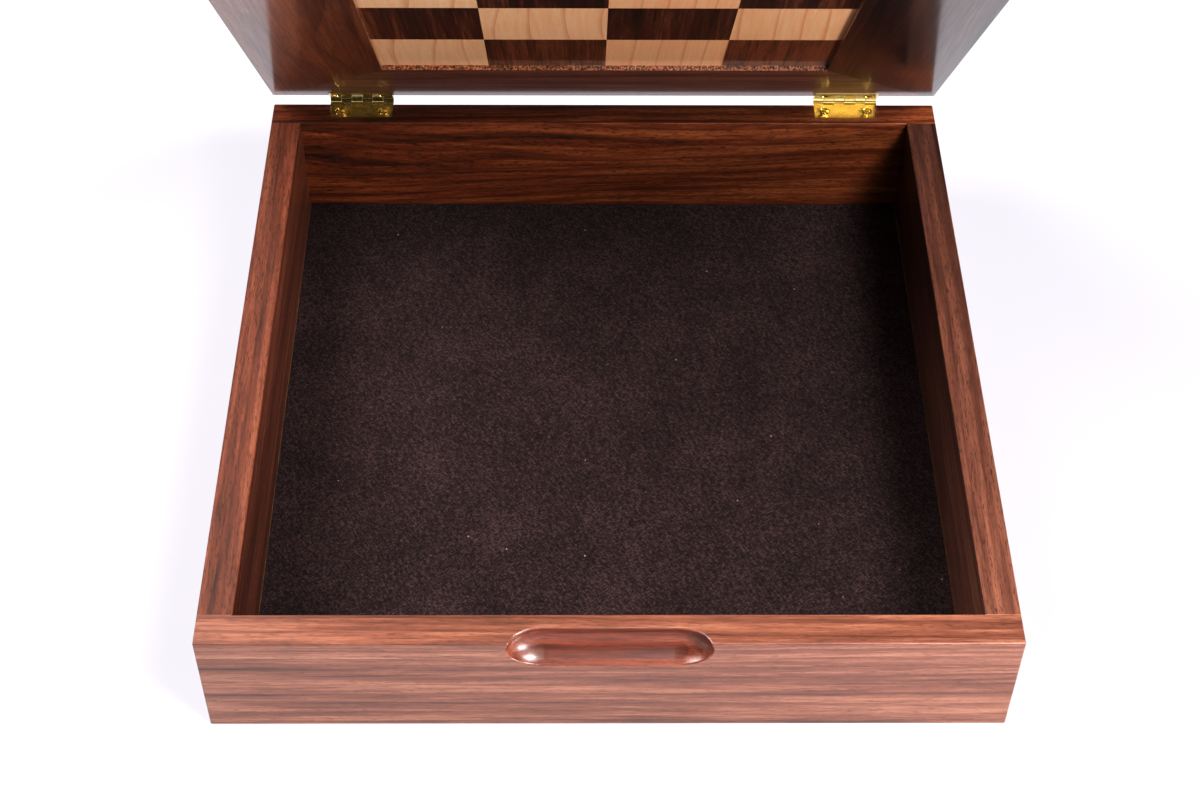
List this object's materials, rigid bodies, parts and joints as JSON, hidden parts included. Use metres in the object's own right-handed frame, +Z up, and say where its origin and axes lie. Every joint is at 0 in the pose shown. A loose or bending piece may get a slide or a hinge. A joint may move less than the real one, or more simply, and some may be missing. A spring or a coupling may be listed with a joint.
{
  "type": "chess box",
  "caption": "Square walnut box with a felt-lined tray, a finger grip in the front, and a brass-hinged framed lid faced with maple and walnut squares.",
  "frame": {"origin": "centre of the box's underside, on the surface it stands on", "axes": "+Z up, -Y to the front where the finger grip is, +X to the right as seen from the front; the hinges are at +Y"},
  "size_m": [0.305, 0.3166, 0.3029],
  "materials": {
    "walnut_boards": "satin lacquered walnut",
    "walnut_squares": "satin lacquered walnut veneer",
    "maple_squares": "satin lacquered maple veneer",
    "birch_plywood": "sanded plywood",
    "beech_dowel": "plain beech",
    "tray_felt": "dark brown felt",
    "hinge_brass": "polished brass"
  },
  "bodies": {
    "box": {"front_board": "walnut_boards", "back_board": "walnut_boards", "left_side_board": "walnut_boards", "right_side_board": "walnut_boards", "corner_dowels": "beech_dowel", "bottom_panel": "birch_plywood", "felt_lining": "tray_felt", "left_hinge_box_leaf": "hinge_brass", "left_hinge_box_screws": "hinge_brass", "left_hinge_pin": "hinge_brass", "right_hinge_box_leaf": "hinge_brass", "right_hinge_box_screws": "hinge_brass", "right_hinge_pin": "hinge_brass"},
    "lid": {"lid_front_rail": "walnut_boards", "lid_back_rail": "walnut_boards", "lid_left_stile": "walnut_boards", "lid_right_stile": "walnut_boards", "lid_mitre_splines": "birch_plywood", "panel_core": "birch_plywood", "left_hinge_lid_leaf": "hinge_brass", "left_hinge_lid_screws": "hinge_brass", "right_hinge_lid_leaf": "hinge_brass", "right_hinge_lid_screws": "hinge_brass", "underside_row_1_maple": "maple_squares", "underside_row_1_walnut": "walnut_squares", "underside_row_2_maple": "maple_squares", "underside_row_2_walnut": "walnut_squares", "underside_row_3_maple": "maple_squares", "underside_row_3_walnut": "walnut_squares", "underside_row_4_maple": "maple_squares", "underside_row_4_walnut": "walnut_squares", "board_rank_1_maple": "maple_squares", "board_rank_1_walnut": "walnut_squares", "board_rank_2_maple": "maple_squares", "board_rank_2_walnut": "walnut_squares", "board_rank_3_maple": "maple_squares", "board_rank_3_walnut": "walnut_squares", "board_rank_4_maple": "maple_squares", "board_rank_4_walnut": "walnut_squares", "board_rank_5_maple": "maple_squares", "board_rank_5_walnut": "walnut_squares", "board_rank_6_maple": "maple_squares", "board_rank_6_walnut": "walnut_squares", "board_rank_7_maple": "maple_squares", "board_rank_7_walnut": "walnut_squares", "board_rank_8_maple": "maple_squares", "board_rank_8_walnut": "walnut_squares"}
  },
  "joints": [
    {"name": "lid_hinge", "type": "hinge", "parent": "box", "child": "lid", "pos_m": [0, 0.1555, 0.0527], "axis": [-1, 0, 0], "range_deg": [-51.8, 128.2]}
  ]
}
